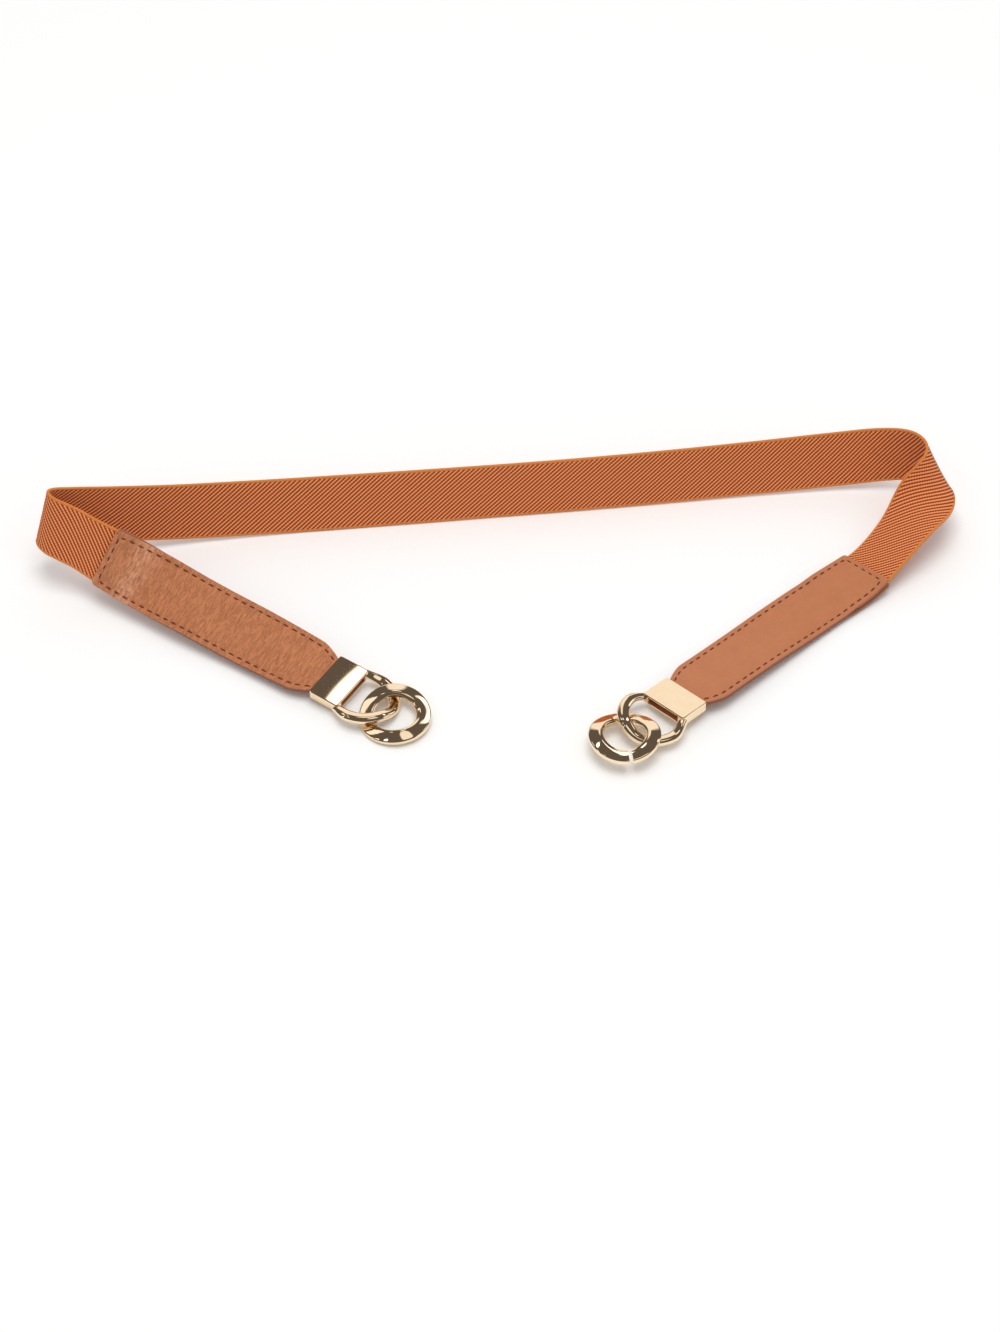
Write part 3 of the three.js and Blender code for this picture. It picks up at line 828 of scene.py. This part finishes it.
# Band of painted highlight on the left tab's creases, where the elastic's end bends the tab
PAINTED_SHEEN_SHARE = 0.75
PAINTED_SHEEN_COLOUR = (0.80, 0.40, 0.23, 1)
GOLD_ROUGHNESS = (0.03, 0.05)
BEAD_PITCH = 1.5                    # of the loops of yarn on a rib, measured along the strap
BEAD_TONE = 0.10                    # shares that loops and fuzz have in the ribs' tone
FUZZ_TONE = 0.3
RIB_TONE = 0.75                     # scale of the ribs' tone as a whole
SELVAGE_BLEND = (-0.15, 0.1)        # from the ribs' colour to the selvage's, around its inner edge
WEAVE_BUMP = {"Strength": 0.55, "Distance": 0.12 * MM}
BEAD_BUMP = 0.35


def new_material(name):
    """A material with its surface's constant values set, its node tree and its shader."""
    material = bpy.data.materials.new(name)
    material.use_nodes = True
    tree = material.node_tree
    shader = tree.nodes["Principled BSDF"]
    for key, value in SURFACES.get(name, {}).items():
        shader.inputs[key].default_value = value
    return material, tree, shader


def node(tree, kind, inputs=None, **settings):
    """A shader node with its settings and inputs. An input that is a socket is linked, any other is set."""
    made = tree.nodes.new(kind)
    for key, value in settings.items():
        setattr(made, key, value)
    for key, value in (inputs or {}).items():
        if isinstance(value, bpy.types.NodeSocket):
            tree.links.new(value, made.inputs[key])
        else:
            made.inputs[key].default_value = value
    return made


def maths(tree, operation, a, b=0.0):
    """The result of an operation on sockets or numbers."""
    return node(tree, "ShaderNodeMath", {0: a, 1: b}, operation=operation).outputs[0]


def weighted(tree, *parts):
    """Sum of values, each times its weight."""
    total = maths(tree, "MULTIPLY", *parts[0])
    for part in parts[1:]:
        total = maths(tree, "ADD", total, maths(tree, "MULTIPLY", *part))
    return total


def rescaled(tree, value, source=(0.0, 1.0), target=(0.0, 1.0), **settings):
    """A value taken from one range to another and kept within it."""
    ranges = {"From Min": source[0], "From Max": source[1], "To Min": target[0], "To Max": target[1]}
    return node(tree, "ShaderNodeMapRange", {"Value": value, **ranges}, **settings).outputs["Result"]


def noise_of(tree, kind, place):
    """Noise from 0 to 1 of one of the kinds in NOISES."""
    return node(tree, "ShaderNodeTexNoise", {"Vector": place, **NOISES[kind]}).outputs["Fac"]


def ramp(tree, factor, stops):
    """Colour by factor, from stops of place and colour."""
    made = node(tree, "ShaderNodeValToRGB", {"Fac": factor})
    band = made.color_ramp
    while len(band.elements) < len(stops):
        band.elements.new(0.5)
    for element, (place, colour) in zip(band.elements, stops):
        element.position = place
        element.color = (*colour, 1.0)
    return made.outputs["Color"]


def mix(tree, factor, a, b):
    """Colour a where the factor is 0 and colour b where it is 1."""
    return node(tree, "ShaderNodeMix", {"Factor": factor, 6: a, 7: b}, data_type="RGBA").outputs[2]


def bump(tree, shader, height, settings):
    """Fine relief of the shader's surface from a height."""
    normal = node(tree, "ShaderNodeBump", {"Height": height, **settings}).outputs["Normal"]
    tree.links.new(normal, shader.inputs["Normal"])


def strap_place(tree):
    """Place on the strap, along and across it, in millimetres."""
    return node(tree, "ShaderNodeUVMap", uv_map="strap").outputs["UV"]


def elastic_material():
    """Twill of orange yarn: painted shade in the grooves, painted highlight on the crests and loop tops,
    small loops along the ribs and a plain selvage.
    """
    material, tree, shader = new_material("elastic_twill")
    place = strap_place(tree)
    parts = node(tree, "ShaderNodeSeparateXYZ", {0: place})
    s, b = parts.outputs["X"], parts.outputs["Y"]
    leaned = maths(tree, "SUBTRACT", s, maths(tree, "MULTIPLY", b, RIB_LEAN))
    phase = maths(tree, "DIVIDE", leaned, RIB_PITCH)
    crest = maths(tree, "ABSOLUTE", maths(tree, "SINE", maths(tree, "MULTIPLY", phase, math.pi)))
    along = maths(tree, "ADD", s, b)
    beads = maths(tree, "SINE", maths(tree, "MULTIPLY", along, 2 * math.pi / BEAD_PITCH))
    fuzz = noise_of(tree, "fuzz", place)
    # Crest and loop heights set the tone: painted shade in the grooves, painted highlight on the tops
    shares = (crest, 1.0), (beads, BEAD_TONE), (fuzz, FUZZ_TONE)
    ribs = ramp(tree, maths(tree, "MULTIPLY", weighted(tree, *shares), RIB_TONE), RAMPS["ribs"])
    blend = [ELASTIC_WIDTH / 2 - SELVAGE + x for x in SELVAGE_BLEND]
    border = rescaled(tree, maths(tree, "ABSOLUTE", b), blend)
    selvage = ramp(tree, fuzz, RAMPS["selvage"])
    tree.links.new(mix(tree, border, ribs, selvage), shader.inputs["Base Color"])
    height = weighted(tree, (beads, BEAD_BUMP), (noise_of(tree, "weave", place), 1.0))
    bump(tree, shader, height, WEAVE_BUMP)
    return material


def leather_material(name, painted_sheen_at=None):
    """Grained leather with creases across the strap.

    Where the elastic's end bends the tab, at the given place along the strap, its creases are painted
    lighter: a painted highlight that stands in for the sheen there.
    """
    look = LEATHERS[name]
    material, tree, shader = new_material(name)
    place = strap_place(tree)
    blotch = noise_of(tree, "blotch", place)
    cells = node(tree, "ShaderNodeTexVoronoi", {"Vector": place, **PORES}, feature="DISTANCE_TO_EDGE")
    pores = rescaled(tree, cells.outputs["Distance"], (0.0, PORE_EDGE))
    stretched = node(tree, "ShaderNodeMapping", {"Vector": place, **CREASE_STRETCH}).outputs["Vector"]
    creases = rescaled(tree, noise_of(tree, "crease", stretched), CREASE_RANGE)
    pore_tone = PORE_TONE["least"] + PORE_TONE["per_grain"] * look["grain"]
    shares = (blotch, BLOTCH_TONE), (pores, pore_tone), (creases, CREASE_TONE * look["creases"])
    tone = weighted(tree, *shares)
    colour = ramp(tree, tone, list(zip(LEATHER_TONES, (look["dark"], look["light"]))))
    # Painted highlight: near that place the creases are lightened towards a pale colour
    if painted_sheen_at is not None:
        run = node(tree, "ShaderNodeSeparateXYZ", {0: place}).outputs["X"]
        away = maths(tree, "ABSOLUTE", maths(tree, "SUBTRACT", run, painted_sheen_at))
        near = rescaled(tree, away, (PAINTED_SHEEN_REACH, 0.0), interpolation_type="SMOOTHSTEP")
        painted_sheen = maths(tree, "MULTIPLY", near, maths(tree, "MULTIPLY", creases, PAINTED_SHEEN_SHARE))
        colour = mix(tree, painted_sheen, colour, PAINTED_SHEEN_COLOUR)
    tree.links.new(colour, shader.inputs["Base Color"])
    height = weighted(tree, (pores, look["grain"]), (creases, look["creases"]))
    bump(tree, shader, height, {"Strength": 1.0, "Distance": MM})
    tree.links.new(rescaled(tree, blotch, target=LEATHER_ROUGHNESS), shader.inputs["Roughness"])
    return material


def edge_material():
    """Cut edges of the leather, darker brown: partly edge paint, partly painted shade of the rounded edges.
    """
    return new_material("leather_edge")[0]


def thread_material():
    """Dark red-brown twisted thread."""
    material, tree, shader = new_material("thread")
    place = node(tree, "ShaderNodeTexCoord").outputs["Object"]
    tree.links.new(ramp(tree, noise_of(tree, "twist", place), RAMPS["thread"]), shader.inputs["Base Color"])
    return material


def gold_material():
    """Polished pale gold."""
    material, tree, shader = new_material("pale_gold")
    cloud = noise_of(tree, "cloud", node(tree, "ShaderNodeTexCoord").outputs["Object"])
    tree.links.new(ramp(tree, cloud, RAMPS["gold"]), shader.inputs["Base Color"])
    tree.links.new(rescaled(tree, cloud, target=GOLD_ROUGHNESS), shader.inputs["Roughness"])
    return material


def recess_painted_shade_material():
    """Orange-brown, half metallic, rougher surface in the pocket inside the D: painted shade and reflection
    that stand in for the dim gold-tinted reflections there.
    """
    return new_material("recess_painted_shade")[0]


# Studio, in metres
FLOOR_REACH = 6.0
OVERHEAD = {"place": (0.05, 0.0, 2.0), "size": (1.5, 1.3), "power": 21}
DOME = (0.66, 0.66, 0.66, 1)
BACKDROP = (1, 1, 1, 1)


def make_camera():
    """The photo's camera, turned by its yaw, pitch and roll."""
    pitch, yaw, roll = (math.radians(CAMERA[k]) for k in ("pitch", "yaw", "roll"))
    forward = Vector((math.sin(yaw) * math.cos(pitch), math.cos(yaw) * math.cos(pitch), -math.sin(pitch)))
    level = Vector((math.cos(yaw), -math.sin(yaw), 0))
    down = forward.cross(level)
    right = level * math.cos(roll) + down * math.sin(roll)
    down = down * math.cos(roll) - level * math.sin(roll)
    data = bpy.data.cameras.new("camera")
    data.sensor_width = SENSOR
    data.lens = SENSOR * CAMERA["focal"] / PHOTO_HEIGHT
    data.clip_start, data.clip_end = CLIP
    camera = bpy.data.objects.new("camera", data)
    camera.matrix_world = Matrix((
        (right.x, -down.x, -forward.x, CAMERA["place"][0] * MM),
        (right.y, -down.y, -forward.y, CAMERA["place"][1] * MM),
        (right.z, -down.z, -forward.z, CAMERA["place"][2] * MM),
        (0, 0, 0, 1)))
    bpy.context.scene.collection.objects.link(camera)
    bpy.context.scene.camera = camera


def make_floor():
    """The white ground that the belt lies on, which is part of the set."""
    mesh = bpy.data.meshes.new("floor")
    low, high = -FLOOR_REACH, FLOOR_REACH
    mesh.from_pydata([(low, low, 0), (high, low, 0), (high, high, 0), (low, high, 0)], [], [(0, 1, 2, 3)])
    mesh.materials.append(new_material("floor_white")[0])
    floor = bpy.data.objects.new("floor", mesh)
    bpy.context.scene.collection.objects.link(floor)


def make_overhead():
    """The softbox above the belt, kept out of what the metal mirrors."""
    data = bpy.data.lights.new("overhead", "AREA")
    data.shape = "RECTANGLE"
    data.size, data.size_y = OVERHEAD["size"]
    data.energy = OVERHEAD["power"]
    light = bpy.data.objects.new("overhead", data)
    light.visible_glossy = False
    light.location = OVERHEAD["place"]
    light.rotation_euler = (-Vector(OVERHEAD["place"])).to_track_quat("-Z", "Y").to_euler()
    bpy.context.scene.collection.objects.link(light)


# What the polished metal mirrors. Directions are scaled to unit length, and sizes go by that length.
SOFTBOXES = [
    # direction, radius, softness, brightness
    ((0.00, 0.95, 0.30), 0.32, 0.04, 1.0),
    ((0.00, 0.80, 0.60), 0.18, 0.03, 1.0),
    ((0.02, 0.47, 0.88), 0.080, 0.006, 2.2),
    ((0.20, 0.00, 0.98), 0.19, 0.02, 0.98),
    ((0.62, 0.31, 0.72), 0.10, 0.02, 1.0),
    ((0.43, 0.55, 0.72), 0.075, 0.015, 2.2),
    ((0.73, 0.48, 0.49), 0.12, 0.03, 1.3),
    ((-0.60, 0.02, 0.80), 0.060, 0.012, 3.0),
    ((-0.42, -0.10, 0.90), 0.055, 0.012, 3.0),
    ((-0.52, 0.38, 0.77), 0.110, 0.015, 1.1),
    ((-0.27, 0.38, 0.88), 0.045, 0.012, 3.0),
    ((-0.86, -0.22, 0.43), 0.070, 0.015, 3.0),
    ((-0.83, -0.14, 0.15), 0.12, 0.03, 1.6),
    ((0.77, 0.42, 0.29), 0.12, 0.03, 1.2),
    ((0.95, -0.10, 0.20), 0.40, 0.05, 0.9),
    ((-0.45, 0.85, 0.15), 0.18, 0.05, 0.8),
]
SOFTBOX_TINT = (1.0, 0.98, 0.95)
ROOM = (0.115, 0.100, 0.092, 1)


def mirrored_room(tree):
    """Colour of a dim room with softboxes, by direction."""
    direction = node(tree, "ShaderNodeTexCoord").outputs["Generated"]
    colour = ROOM
    for centre, radius, softness, brightness in SOFTBOXES:
        centre = tuple(Vector(centre).normalized())
        far = node(tree, "ShaderNodeVectorMath", {0: direction, 1: centre}, operation="DISTANCE")
        inside = rescaled(tree, far.outputs["Value"], (radius + softness, radius - softness))
        colour = mix(tree, inside, colour, (*(brightness * share for share in SOFTBOX_TINT), 1))
    return colour


def make_lights():
    """An even bright dome, a softbox overhead, and the room that polished metal mirrors."""
    world = bpy.data.worlds.new("studio")
    world.use_nodes = True
    bpy.context.scene.world = world
    tree = world.node_tree
    rays = node(tree, "ShaderNodeLightPath")
    light = mix(tree, rays.outputs["Is Glossy Ray"], DOME, mirrored_room(tree))
    seen = mix(tree, rays.outputs["Is Camera Ray"], light, BACKDROP)
    tree.links.new(seen, tree.nodes["Background"].inputs["Color"])
    make_overhead()
    bpy.context.scene.view_settings.view_transform = "Standard"


make_camera()
make_floor()
make_lights()

leather_looks = {
    # The left tab's leather carries the band of painted highlight
    "left": leather_material("leather_creased", ENDS["left"]["seam"] + PAINTED_SHEEN_PLACE),
    "right": leather_material("leather_smooth"),
}
lining_look = leather_material("leather_lining")
edge_look = edge_material()
thread_look = thread_material()
gold_look = gold_material()
recess_painted_shade_look = recess_painted_shade_material()

make_elastic(elastic_material())
for tab_name in ENDS:
    make_leather(tab_name, OUTER, leather_looks[tab_name], edge_look)
    make_leather(tab_name, INNER, lining_look, edge_look)
    make_stitches(tab_name, OUTER, thread_look)
    make_stitches(tab_name, INNER, thread_look)
    make_clasp(tab_name, gold_look, recess_painted_shade_look)
    make_ring(tab_name, gold_look)
